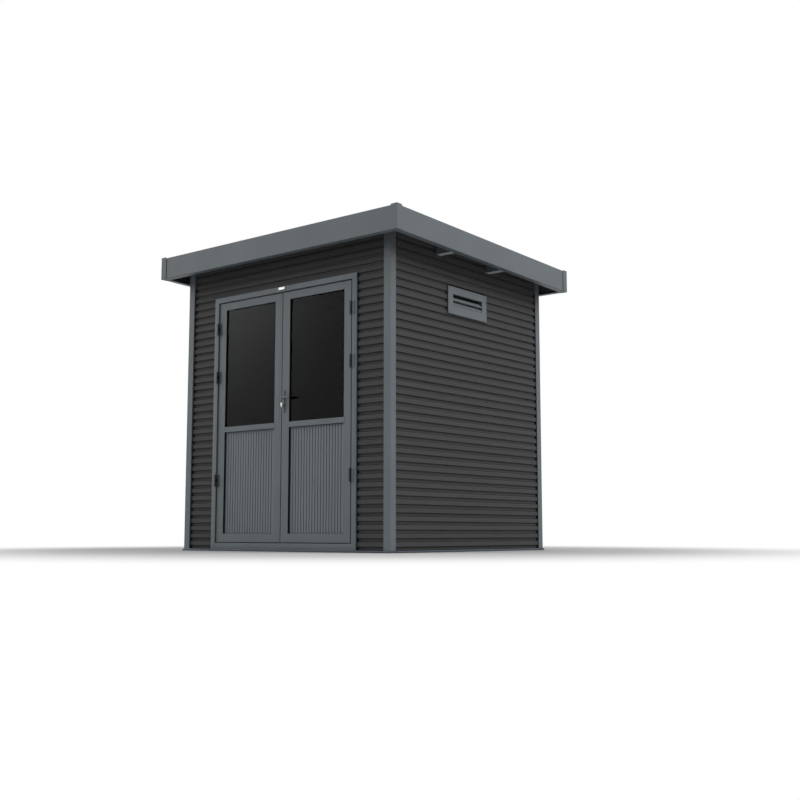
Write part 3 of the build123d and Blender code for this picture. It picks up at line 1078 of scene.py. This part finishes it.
# %% Gaskets round the panes and the panels
gasket_width = 1.2 * mm
gasket_set_back = 1.5 * mm
for side in ("left", "right"):
    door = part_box(f"{side}_door_stiles")
    for filling in ("glass", "ribbed_panel"):
        low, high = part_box(f"{side}_door_{filling}")
        for face, near_y, far_y in (
            ("outer", door[0].y + gasket_set_back, low.y),
            ("inner", high.y, door[1].y - gasket_set_back),
        ):
            # Each ring is black rubber over the side of the reveal, partly gasket and partly painted shade.
            ring(
                f"{side}_door_{filling}_{face}_gasket",
                low,
                high,
                gasket_width,
                near_y,
                far_y,
                rubber,
                f"{side}_door",
                "dark_steel",
            )
print("gaskets", round(gasket_width / mm, 1), "mm wide")

# %% [markdown]
# ## Seal round the doors
#
# A gap runs round the two leaves, and a rubber lip on the frame closes it behind them. Without it daylight
# would show as a bright line. It is the same ring as a gasket, but it stands on the threshold, so it has
# three sides.

# %% Seal round the doors
seal_thick = 3 * mm
seal_depth = 8 * mm
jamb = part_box("door_frame_left_jamb")
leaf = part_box("left_door_stiles")
frame_inside = Vector((jamb[1].x, 0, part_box("door_frame_threshold")[1].z))
frame_inside_top = Vector((-jamb[1].x, 0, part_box("door_frame_head")[0].z))
ring(
    "door_frame_seal",
    frame_inside,
    frame_inside_top,
    seal_thick,
    leaf[1].y - seal_depth,
    leaf[1].y,
    rubber,
    "shed",
    "dark_steel",
    sides=3,
)
print("seal", round(seal_thick / mm), "mm thick round a gap of", round((leaf[0].x - jamb[1].x) / mm), "mm")

# %% [markdown]
# ## Black strips at the ends of the boards
#
# Boards can't butt against a post without an untidy gap, so a thin black strip is pressed in between. It is
# a dark joint, and it is also painted shade: it deepens the shadow that the proud post or jamb casts into
# the grooves. It shows as a fine dark line that turns into a black notch at each groove. Every strip is a
# long box, and one mesh holds them all.

# %% Joint strips
shade_strip = 3 * mm
joint_proud = 0.8 * mm
box_faces = [(0, 1, 3, 2), (4, 6, 7, 5), (0, 4, 5, 1), (2, 3, 7, 6), (0, 2, 6, 4), (1, 5, 7, 3)]


def box_corners(xs, ys, zs):
    """The eight corners of a box, in the order that box_faces counts them."""
    return [(x, y, z) for x in xs for y in ys for z in zs]


def strip_spans():
    """Both ends of each strip along X, Y and Z, for all posts and for both sides of the door frame."""
    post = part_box("post_front_right")
    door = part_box("door_frame_right_jamb")
    beside_posts = (sill_top, fascia_back[0].z)
    spans = []
    for side in (-1, 1):
        xs = (side * post[0].x, side * (post[0].x - shade_strip))
        for end, wall_face in ((-1, front_wall[0].y), (1, back_wall[1].y)):
            face = wall_face + end * joint_proud
            spans.append((xs, (face, face - end * wall_thick), beside_posts))
        xs = (side * door[1].x, side * (door[1].x + shade_strip))
        face = front_wall[0].y - joint_proud
        spans.append((xs, (face, face + wall_thick), (sill_top, door[1].z)))
        face = side * (right_wall[1].x + joint_proud)
        xs = (face, face - side * wall_thick)
        for end in (-1, 1):
            y = -end * post[1].y
            spans.append((xs, (y, y - end * shade_strip), beside_posts))
    return spans


vertices = []
faces = []
for span in strip_spans():
    first = len(vertices)
    vertices += box_corners(*span)
    faces += [tuple(first + k for k in face) for face in box_faces]
    print("strip", [tuple(round(v / mm) for v in ends) for ends in span])
# The black strips are partly painted shade, in the ends of the grooves beside posts and jambs.
finish(mesh_object("joint_strips", vertices, faces), rubber, "shed", "dark_steel")

# %% [markdown]
# ## Screw heads
#
# Screws hold the hinges, the vent plate, the head plate and the roof sheet. A head is round, so it could be
# spun from an outline with a Screw modifier. Here it is turned from a few rings, like a piece on a lathe,
# with a radius of 1 that the tree below scales. Heads are tiny, so they have few faces.

# %% Turn two screw heads
def turned(name, rings, segments):
    """A closed surface of revolution round +Z from (radius, height) rings."""
    vertices = []
    for radius, height in rings:
        for k in range(segments):
            angle = 2 * math.pi * (k + 0.5) / segments
            vertices.append((radius * math.cos(angle), radius * math.sin(angle), height))
    faces = []
    for ring_index in range(len(rings) - 1):
        base = ring_index * segments
        for k in range(segments):
            after = (k + 1) % segments
            faces.append((base + k, base + after, base + segments + after, base + segments + k))
    top = (len(rings) - 1) * segments
    faces.append(tuple(reversed(range(segments))))
    faces.append(tuple(range(top, top + segments)))
    return mesh_object(name, vertices, faces)


socket_rings = [(1, 0), (0.95, 0.3), (0.6, 0.55), (0.42, 0.6), (0.38, 0.2)]
hex_rings = [(1, 0), (1, 0.12), (0.55, 0.2), (0.55, 0.75), (0.45, 0.8)]
socket_screw = turned("socket_screw", socket_rings, segments=12)
hex_screw = turned("hex_screw", hex_rings, segments=6)
print("socket head of", len(socket_screw.data.polygons), "faces")
print("hexagon head of", len(hex_screw.data.polygons), "faces")

# %% [markdown]
# ### A tree that sets a piece on spots
#
# Screws sit in pairs, columns and grids, which one step and one count can't place. This tree takes its
# places from the points of a second object instead, and gives every copy the same turn and size.

# %% Spots tree
def spots_tree():
    """Sets one piece, turned and sized, on every point of another object."""
    inputs = [
        ("Piece", "Object"),
        ("Places", "Object"),
        ("Turn", "Vector"),
        ("Size", "Float"),
        ("Material", "Material"),
    ]
    tree, given, result = new_tree("piece_on_each_spot", inputs)
    piece = put(tree, "GeometryNodeObjectInfo", [("Object", given.outputs["Piece"])])
    places = put(tree, "GeometryNodeObjectInfo", [("Object", given.outputs["Places"])])
    turn = put(tree, "FunctionNodeEulerToRotation", [("Euler", given.outputs["Turn"])])
    copies = put(
        tree,
        "GeometryNodeInstanceOnPoints",
        [
            ("Points", places.outputs["Geometry"]),
            ("Instance", piece.outputs["Geometry"]),
            ("Rotation", turn.outputs["Rotation"]),
            ("Scale", given.outputs["Size"]),
        ],
    )
    end_tree(tree, given, copies, result)
    return tree


spots = spots_tree()
print("tree", spots.name, "has", len(spots.nodes), "nodes")

# %% [markdown]
# ### Screws on a list of points
#
# A screw is drawn pointing up, so a group that is driven from the front or the right is turned. The spots
# are put in a mesh of bare points, which is thrown away once the screws have grown on it.

# %% Set screws
towards = {
    "front": (math.pi / 2, 0, 0),
    "right": (0, math.pi / 2, 0),
    "up": (0, 0, 0),
}


def screws(name, points, direction, radius, material, body, slot, head=socket_screw):
    """Screws at a list of points, all facing one way."""
    mesh = bpy.data.meshes.new(name + "_places")
    mesh.from_pydata([tuple(p) for p in points], [], [])
    places = bpy.data.objects.new(name + "_places", mesh)
    scene.collection.objects.link(places)
    piece = grow(
        name, spots, Piece=head, Places=places, Turn=towards[direction], Size=radius, Material=material
    )
    bpy.data.objects.remove(places)
    print(name, len(points))
    return finish(soften(piece), None, body, slot)


# %% [markdown]
# ### Hinge screws
#
# Each hinge has a plate on the frame and one on the leaf, and three screws go down the middle of each. The
# frame's screws stay with the shed, and the leaf's screws swing with the leaf, so they are separate pieces.

# %% Hinge screws
hinge_heights = (513.5 * mm, 1278.5 * mm, 1642 * mm)
hinge_plate_width = 20 * mm
hinge_screw_radius = 3.2 * mm
hinge_screw_pitch = 29 * mm


def hinge_screws(name, body, x, behind):
    """Three screws down each plate of a line of hinges, on the face of what is behind them."""
    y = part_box(behind)[0].y - hinge_plate
    steps = (-hinge_screw_pitch, 0, hinge_screw_pitch)
    points = [Vector((x, y, z + step)) for z in hinge_heights for step in steps]
    screws(name, points, "front", hinge_screw_radius, shadowed_plate_coat, body, "dark_steel")


for side, sign, outer in (("left", -1, 0), ("right", 1, 1)):
    frame_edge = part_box(f"door_frame_{side}_hinges")[outer].x
    frame_x = frame_edge - sign * hinge_plate_width / 2
    hinge_screws(f"{side}_frame_hinge_screws", "shed", frame_x, "door_frame_head")
    leaf_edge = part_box(f"{side}_door_stiles")[outer].x
    leaf_x = leaf_edge - sign * (hinge_plate + hinge_plate_width / 2)
    hinge_screws(f"{side}_leaf_hinge_screws", f"{side}_door", leaf_x, f"{side}_door_stiles")

# %% [markdown]
# ### Vent screws
#
# The vent plate is screwed to the wall in its four corners, with heads in the plate's own colour. They are
# set in from the corners of the solid, so that they stay there if the vent grows.

# %% Vent screws
vent_low, vent_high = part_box("vent_plate_rails")
vent_screw_inset = 14 * mm
vent_screw_radius = 2.5 * mm
vent_points = [
    Vector((vent_high.x, y, z))
    for y in (vent_low.y + vent_screw_inset, vent_high.y - vent_screw_inset)
    for z in (vent_low.z + vent_screw_inset, vent_high.z - vent_screw_inset)
]
screws("vent_screws", vent_points, "right", vent_screw_radius, anthracite, "shed", "painted_aluminium")

# %% [markdown]
# ## Insect screen
#
# Behind the blades of the vent a screen of light wires keeps insects out. A see-through texture could fake
# it, but wires of real thickness shade the slots behind the blades. One wire is drawn, and the row tree
# repeats it upwards.

# %% Insect screen
blades_low, blades_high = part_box("vent_blades")
screen_pitch = 4 * mm
screen_set_back = 4 * mm
wire = 1.4 * mm
wire_corners = [(0, 0), (wire, 0), (wire, wire), (0, wire)]
screen_x = blades_low.x - screen_set_back
wire_bar = bar(
    "screen_wire",
    rounded([(*corner, wire / 3) for corner in wire_corners], steps=1),
    lambda a, h: Vector((screen_x - a, blades_low.y, h)),
    lambda a, h: Vector((screen_x - a, blades_high.y, h)),
)
screen_count = int((blades_high.z - blades_low.z) / screen_pitch)
screen = grow(
    "vent_insect_screen",
    rows,
    Piece=wire_bar,
    Start=(0, 0, blades_low.z),
    Step=(0, 0, screen_pitch),
    Count=screen_count,
    Material=screen_coat,
)
bpy.data.objects.remove(wire_bar)
finish(soften(screen), None, "shed", "dark_steel")
print("insect screen of", screen_count, "wires")

# %% [markdown]
# ### Head plate screws
#
# The small plate on the door head is held by a screw at either end. The photograph shows it only a few
# pixels wide, so the two heads are there for a closer look.

# %% Head plate screws
head_low, head_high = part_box("door_head_plate")
head_screw_inset = 8 * mm
head_screw_radius = 2.2 * mm
head_middle = (head_low.z + head_high.z) / 2
head_points = [
    Vector((x, head_low.y, head_middle))
    for x in (head_low.x + head_screw_inset, head_high.x - head_screw_inset)
]
screws("head_plate_screws", head_points, "front", head_screw_radius, steel, "shed", "brushed_steel")

# %% [markdown]
# ### Roof screws
#
# The ribbed roof sheet is screwed down in its flat pans, where it rests on the end beams and the purlins.
# The rows follow those beams, and the height of each row follows the fall of the roof. These are hexagon
# heads with a broad flange.

# %% Roof screws
roof_ribs = 11
roof_rib_pitch = 194 * mm
roof_rib_height = 20 * mm
roof_screw_radius = 8 * mm
beam_half = 25 * mm
sheet_low, sheet_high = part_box("roof_sheet")
beam_low, beam_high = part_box("end_roof_beams")
purlin_low, purlin_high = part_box("purlins")
beam_rows = (
    beam_low.y + beam_half,
    purlin_low.y + beam_half,
    purlin_high.y - beam_half,
    beam_high.y - beam_half,
)
pans = roof_ribs - 1
roof_points = []
for y in beam_rows:
    pan_top = sheet_high.z - roof_rib_height - slope * (y - sheet_low.y)
    for k in range(pans):
        roof_points.append(Vector(((k - (pans - 1) / 2) * roof_rib_pitch, y, pan_top)))
screws("roof_screws", roof_points, "up", roof_screw_radius, steel, "shed", "brushed_steel", hex_screw)
bpy.data.objects.remove(socket_screw)
bpy.data.objects.remove(hex_screw)

# %% [markdown]
# ## Small boxes
#
# The last pieces are a draught strip, two panes, a key slot and lock plates, and all are plain boxes. Cubes
# could be added and scaled, but a cube has knife edges. This helper makes a box between two corners and
# eases its edges.

# %% A small box with eased edges
thin_ease = 0.1 * mm


def small_box(name, low, high, material, body, slot, ease=0.4 * mm):
    """A little box with eased edges between two corners."""
    piece = mesh_object(name, box_corners(*zip(low, high)), box_faces)
    ease_edges(piece, ease)
    return finish(piece, material, body, slot)


# %% [markdown]
# ### Draught strip
#
# In the photograph a fine black line runs down the inner edge of the right jamb, where a draught strip is
# pressed in. Paint would do at this distance. A strip that stands a little proud also holds up close by.

# %% Draught strip
strip_width = 4 * mm
strip_lap = 3 * mm
strip_proud = 0.4 * mm
right_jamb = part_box("door_frame_right_jamb")
small_box(
    "right_jamb_draught_strip",
    (right_jamb[0].x - strip_width, right_jamb[0].y - strip_proud, frame_inside.z),
    (right_jamb[0].x + strip_lap, right_jamb[0].y + strip_proud, frame_inside_top.z),
    rubber,
    "shed",
    "dark_steel",
    thin_ease,
)
print("draught strip", round((frame_inside_top.z - frame_inside.z) / mm), "mm long")

# %% [markdown]
# ### Outer panes
#
# A sealed glazing unit has two sheets of glass. The solid of the pane is the inner one. The outer one sits
# close behind the face of the stiles, where the photograph shows the glass, so it is added in front.

# %% Outer panes
outer_pane_set_back = 10 * mm
outer_pane_thick = 4 * mm
pane_ease = 0.5 * mm
for side in ("left", "right"):
    node = f"{side}_door_glass"
    low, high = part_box(node)
    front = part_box(f"{side}_door_stiles")[0].y + outer_pane_set_back
    pane = small_box(
        f"{side}_door_outer_pane",
        (low.x + gasket_width, front, low.z + gasket_width),
        (high.x - gasket_width, front + outer_pane_thick, high.z - gasket_width),
        glass,
        f"{side}_door",
        slots[node],
        pane_ease,
    )
    print(pane.name, [round(v / mm) for v in pane.dimensions], "mm")

# %% [markdown]
# ## Key slot
#
# The key cylinder is a solid with a plain face, and without its slot it would look like a button. The slot
# could be cut, but it is a few millimetres high, so a thin black box in the face stands in for it, as
# painted shade of the hole.

# %% Key slot
handle_x = 20 * mm
cylinder_z = 1032 * mm
lever_z = 1078 * mm
cylinder_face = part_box("right_door_lock_cylinder")[0].y
key_slot = Vector((1, 0.3, 8)) * mm
small_box(
    "key_slot",
    (handle_x - key_slot.x, cylinder_face - key_slot.y, cylinder_z - key_slot.z / 2),
    (handle_x + key_slot.x, cylinder_face + key_slot.y, cylinder_z + key_slot.z / 2),
    rubber,
    "right_door",
    "dark_steel",
    thin_ease,
)
print("key slot at", round(cylinder_z / mm), "mm")

# %% [markdown]
# ## Latch and strike
#
# When a leaf stands open, its meeting edge shows a steel face plate with the latch bolt, and the other leaf
# shows the strike plate. The closed doors hide them, so they could be left out, but an open door without a
# latch looks unfinished. Each plate rides with its own leaf.

# %% Latch and strike
right_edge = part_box("right_door_stiles")[0].x
left_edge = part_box("left_door_stiles")[1].x
leaf_middle = (leaf[0].y + leaf[1].y) / 2
plate_half_width = 8 * mm
plate_half_height = 85 * mm
plate_proud = 0.6 * mm
latch_half = 12 * mm
latch_proud = 2.5 * mm
lock_middle = (cylinder_z + lever_z) / 2
small_box(
    "latch_face_plate",
    (right_edge - plate_proud, leaf_middle - plate_half_width, lock_middle - plate_half_height),
    (right_edge + 2 * plate_proud, leaf_middle + plate_half_width, lock_middle + plate_half_height),
    steel,
    "right_door",
    "brushed_steel",
)
small_box(
    "latch_bolt",
    (right_edge - latch_proud, leaf_middle - plate_half_width / 2, lever_z - latch_half),
    (right_edge, leaf_middle + plate_half_width / 2, lever_z + latch_half),
    steel,
    "right_door",
    "brushed_steel",
)
small_box(
    "latch_strike_plate",
    (left_edge - 2 * plate_proud, leaf_middle - plate_half_width, lock_middle - plate_half_height),
    (left_edge + plate_proud, leaf_middle + plate_half_width, lock_middle + plate_half_height),
    steel,
    "left_door",
    "brushed_steel",
)
print("lock fittings at", round(lock_middle / mm), "mm")

# %% [markdown]
# ## A plain white studio
#
# The shed stands on a pale floor in front of plain white. A white room could give that, but it would light
# the shed from all round and flatten it. So white is only what the camera, a gloss or a glass sees, and the
# light that lands on the shed is set apart from it. This helper tells the two kinds of ray from each other.

# %% What the camera, gloss and glass see
def seen_directly(tree):
    """1 for rays that the camera, a gloss or a glass sends out, and 0 for the light that lands on things."""
    path = put(tree, "ShaderNodeLightPath")
    seen = path.outputs["Is Camera Ray"]
    for kind in ("Is Glossy Ray", "Is Transmission Ray"):
        either = put(tree, "ShaderNodeMath", [(0, seen), (1, path.outputs[kind])], operation="MAXIMUM")
        seen = either.outputs[0]
    return seen


# %% [markdown]
# ### Floor
#
# Near the shed the floor is matt and pale and takes its shadow. Farther out it has to meet the white
# background without a line. A huge floor would show its horizon, so this one fades into white by distance.

# %% Floor
floor_fade_start = 1.9
floor_fade_end = 4.2
floor_size = 12


def make_floor():
    """A pale floor that turns to plain white away from the shed."""
    reach = floor_size / 2
    corners = [(-reach, -reach, 0), (reach, -reach, 0), (reach, reach, 0), (-reach, reach, 0)]
    floor = mesh_object("floor", corners, [(0, 1, 2, 3)])
    material, tree, shader = new_material("pale_floor")
    shader.inputs["Base Color"].default_value = (0.45, 0.45, 0.45, 1)
    shader.inputs["Roughness"].default_value = 0.9
    shader.inputs["Specular IOR Level"].default_value = 0
    place = put(tree, "ShaderNodeTexCoord")
    distance = put(tree, "ShaderNodeVectorMath", [(0, place.outputs["Object"])], operation="LENGTH")
    fade = put(tree, "ShaderNodeMapRange", [("Value", distance.outputs["Value"])])
    fade.interpolation_type = "SMOOTHSTEP"
    fade.inputs["From Min"].default_value = floor_fade_start
    fade.inputs["From Max"].default_value = floor_fade_end
    seen = put(
        tree,
        "ShaderNodeMath",
        [(0, fade.outputs["Result"]), (1, seen_directly(tree))],
        operation="MULTIPLY",
    )
    white = put(tree, "ShaderNodeEmission", Color=(1, 1, 1, 1), Strength=1)
    mix = put(
        tree,
        "ShaderNodeMixShader",
        [("Fac", seen.outputs[0]), (1, shader.outputs["BSDF"]), (2, white.outputs["Emission"])],
    )
    tree.links.new(mix.outputs["Shader"], tree.nodes["Material Output"].inputs["Surface"])
    floor.data.materials.append(material)
    return floor


print("floor", round(make_floor().dimensions.x), "m across")

# %% [markdown]
# ### Compass
#
# Lamps and glows are easiest to think of as a direction round the shed and a height over the floor. Places
# in metres would work too, but a direction says at once which side is lit.

# %% Compass
def compass(azimuth, elevation):
    """Direction towards a compass angle, 0 being the front and 90 the right, and a height angle."""
    around = math.radians(azimuth)
    up = math.radians(elevation)
    return Vector((math.sin(around) * math.cos(up), -math.cos(around) * math.cos(up), math.sin(up)))


print("front is", tuple(round(v) for v in compass(0, 0)))

# %% [markdown]
# ### World
#
# In a studio, big reflectors brighten the sides that no lamp reaches. Panels of light could be modelled, but
# a world of a few soft glows does the same. Each glow has a direction, a sharpness and a level, and a low
# fill is added to them. One glow comes from above, two from the left and one from behind. In each row below
# stand the compass angle, the height angle, the sharpness and the level.

# %% World
fill_level = 0.05
glows = (
    (0, 90, 2, 0.45),
    (-75, 25, 19, 3.5),
    (215, 35, 6, 1.2),
    (-50, 14, 200, 3.6),
)


def make_world():
    """Plain white to the camera, and soft glows over a low fill to the light; gloss and glass see both."""
    world = bpy.data.worlds.new("studio")
    scene.world = world
    world.use_nodes = True
    tree = world.node_tree
    background = tree.nodes["Background"]
    place = put(tree, "ShaderNodeTexCoord")
    room = None
    for azimuth, elevation, sharpness, level in glows:
        facing = put(
            tree, "ShaderNodeVectorMath", [(0, place.outputs["Generated"])], operation="DOT_PRODUCT"
        )
        facing.inputs[1].default_value = compass(azimuth, elevation)
        ahead = put(tree, "ShaderNodeMath", [(0, facing.outputs["Value"])], operation="MAXIMUM")
        ahead.inputs[1].default_value = 0
        spot = put(tree, "ShaderNodeMath", [(0, ahead.outputs[0])], operation="POWER")
        spot.inputs[1].default_value = sharpness
        brighter = put(tree, "ShaderNodeMath", [(0, spot.outputs[0])], operation="MULTIPLY_ADD")
        brighter.inputs[1].default_value = level
        brighter.inputs[2].default_value = fill_level
        if room is not None:
            tree.links.new(room.outputs[0], brighter.inputs[2])
        room = brighter
    path = put(tree, "ShaderNodeLightPath")
    unseen = put(tree, "ShaderNodeMath", [(1, path.outputs["Is Camera Ray"])], operation="SUBTRACT")
    unseen.inputs[0].default_value = 1
    strength = put(
        tree,
        "ShaderNodeMath",
        [(0, room.outputs[0]), (1, unseen.outputs[0]), (2, seen_directly(tree))],
        operation="MULTIPLY_ADD",
    )
    background.inputs["Color"].default_value = (1, 1, 1, 1)
    tree.links.new(strength.outputs[0], background.inputs["Strength"])


make_world()
print("world fill", fill_level, "with", len(glows), "glows")

# %% [markdown]
# ### Lamps
#
# Two broad soft lamps rake along the two walls that the camera sees, one from the front left and one from
# the right and a little behind, so that ledges and gaps which face the camera stay dark. Suns would light
# evenly, but area lamps give the slow fall of light along the fascias.

# %% Lamps
lamp_distance = 20
lamp_size = 16


def area_lamp(name, azimuth, elevation, power):
    """A square soft lamp that looks at the middle of the shed."""
    data = bpy.data.lights.new(name, "AREA")
    data.shape = "SQUARE"
    data.size = lamp_size
    data.energy = power
    lamp = bpy.data.objects.new(name, data)
    scene.collection.objects.link(lamp)
    away = compass(azimuth, elevation)
    lamp.location = Vector((0, 0, cad_box[1].z / 2)) + away * lamp_distance
    lamp.rotation_euler = (-away).to_track_quat("-Z", "Y").to_euler()


area_lamp("front_lamp", azimuth=-25, elevation=46, power=1780)
area_lamp("right_lamp", azimuth=115, elevation=42, power=3350)

# %% [markdown]
# ## Camera
#
# The photograph was taken low and close, so upright edges lean together towards the top. The camera's place
# and lens were found from the shed's own edges, and they are written as real positions in metres.

# %% Camera
camera_place = (5.526, -6.459, 0.127)
camera_pitch = 6.856
camera_turn = 38.778
camera_lens = 49.92
camera_sensor = 36

camera = bpy.data.objects.new("camera", bpy.data.cameras.new("camera"))
scene.collection.objects.link(camera)
camera.location = camera_place
camera.rotation_euler = (math.radians(90 + camera_pitch), 0, math.radians(camera_turn))
camera.data.lens = camera_lens
camera.data.sensor_width = camera_sensor
scene.camera = camera
scene.view_settings.view_transform = "Standard"
print("camera", tuple(round(v, 2) for v in camera.location))
